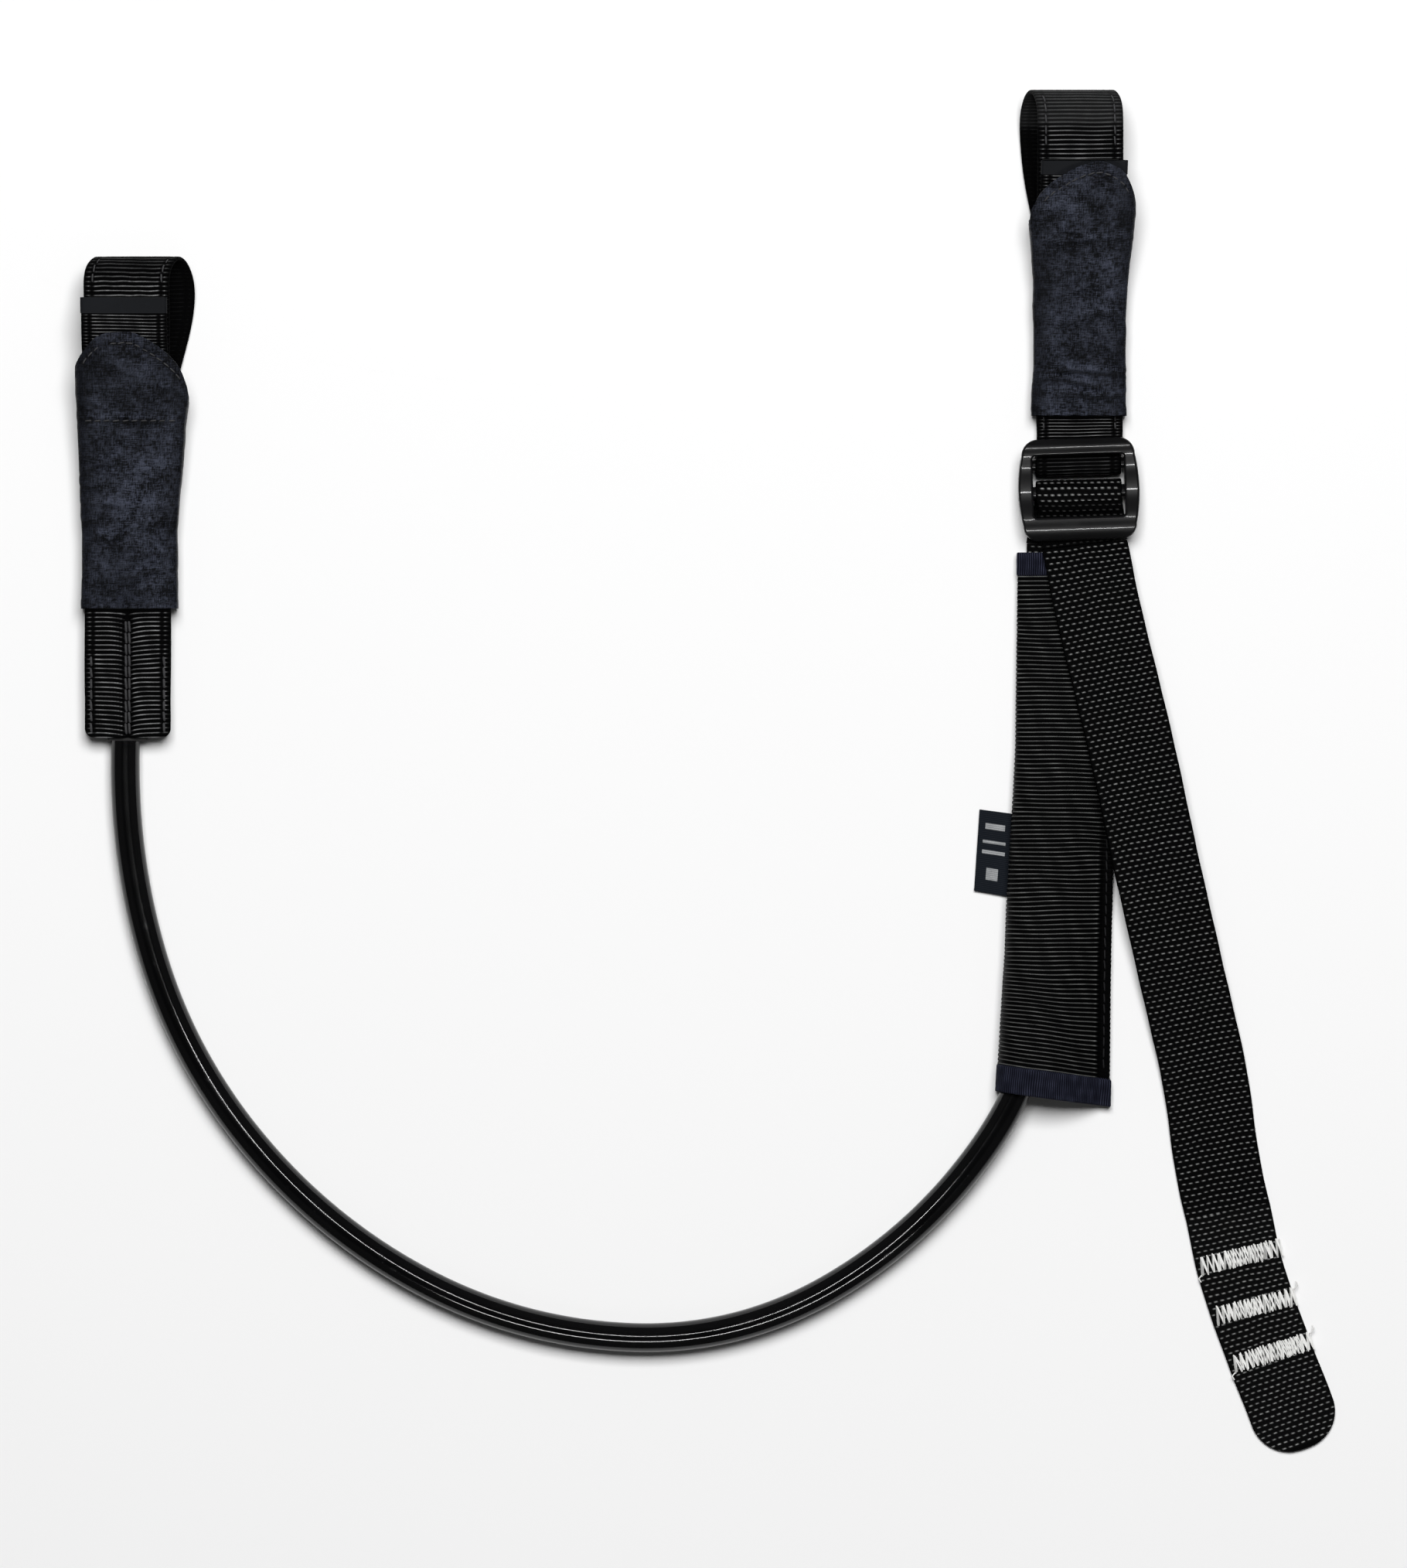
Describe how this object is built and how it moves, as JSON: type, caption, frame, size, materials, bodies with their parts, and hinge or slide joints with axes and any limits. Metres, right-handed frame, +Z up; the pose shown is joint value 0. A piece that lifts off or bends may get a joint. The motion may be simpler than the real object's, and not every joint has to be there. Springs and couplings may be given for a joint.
{
  "type": "harness line",
  "caption": "Adjustable harness line: sheathed rope between two hook-and-loop boom straps, one on a ladder-lock buckle with a webbing tail for setting the length.",
  "frame": {"origin": "middle of the line's outline in plan, on the surface it lies on", "axes": "+X across the line from the fixed boom strap to the adjustable one, +Y from the bight towards the boom loops, +Z up from the surface it lies on"},
  "size_m": [0.3678, 0.3972, 0.0193],
  "materials": {
    "tube": "glossy extruded polyurethane",
    "rope": "braided polyester",
    "webbing": "woven polyester webbing with cross ribs",
    "tape": "hook-and-loop tape",
    "seal": "heat-sealed webbing end",
    "black_thread": "bonded sewing thread",
    "white_thread": "bonded sewing thread",
    "ripstop": "coated ripstop cloth",
    "grosgrain": "ribbed grosgrain",
    "binding": "fine ribbed binding tape",
    "label": "woven label",
    "buckle": "moulded acetal, satin"
  },
  "bodies": {
    "line": {"line_tube": "tube", "line_rope": "rope", "rope_left_flat": "rope", "rope_right_flat": "rope", "anchor_webbing": "webbing", "anchor_stitching": "black_thread", "line_sleeve": "grosgrain", "sleeve_top_binding": "binding", "sleeve_bottom_binding": "binding", "sleeve_seam_stitching": "black_thread", "sleeve_label": "label", "left_strap_webbing": "webbing", "left_closure_flap": "webbing", "left_loop_tape": "tape", "left_hook_tape": "tape", "left_flap_seal": "seal", "left_end_stitching": "black_thread", "left_loop_stitching": "black_thread"},
    "left_sleeve": {"left_ripstop_sleeve": "ripstop", "left_sleeve_stitching": "black_thread"},
    "boom_strap": {"right_strap_webbing": "webbing", "right_loop_tape": "tape", "right_hook_tape": "tape", "right_flap_seal": "seal", "right_strap_stitching": "black_thread", "right_loop_stitching": "black_thread", "load_strand": "webbing", "buckle_wrap_webbing": "webbing", "tail_middle": "webbing"},
    "right_sleeve": {"right_ripstop_sleeve": "ripstop", "right_sleeve_stitching": "black_thread"},
    "buckle": {"ladder_lock_buckle": "buckle"},
    "tail_end": {"tail_end": "webbing", "tail_bar_tacks": "white_thread"}
  },
  "joints": [
    {"name": "length_adjust", "type": "slide", "parent": "line", "child": "boom_strap", "axis": [0.0237, 0.9997, 0], "range_m": [0, 0.14]},
    {"name": "tail_feed", "type": "slide", "parent": "boom_strap", "child": "tail_end", "axis": [-0.2045, 0.9787, 0.0186], "range_m": [0, 0.14], "deforming": ["tail_middle"]},
    {"name": "buckle_tilt", "type": "hinge", "parent": "boom_strap", "child": "buckle", "pos_m": [0.10815, 0.08965, 0.0035], "axis": [-0.9995, -0.0332, 0], "range_deg": [0, 20], "deforming": ["buckle_wrap_webbing"]},
    {"name": "left_sleeve_slide", "type": "slide", "parent": "line", "child": "left_sleeve", "axis": [0, -1, 0], "range_m": [0, 0.036]},
    {"name": "right_sleeve_slide", "type": "slide", "parent": "boom_strap", "child": "right_sleeve", "axis": [0, -1, 0], "range_m": [0, 0.004]}
  ],
  "couplings": [
    {"joint": "tail_feed", "follows": "length_adjust", "ratio": 1}
  ]
}
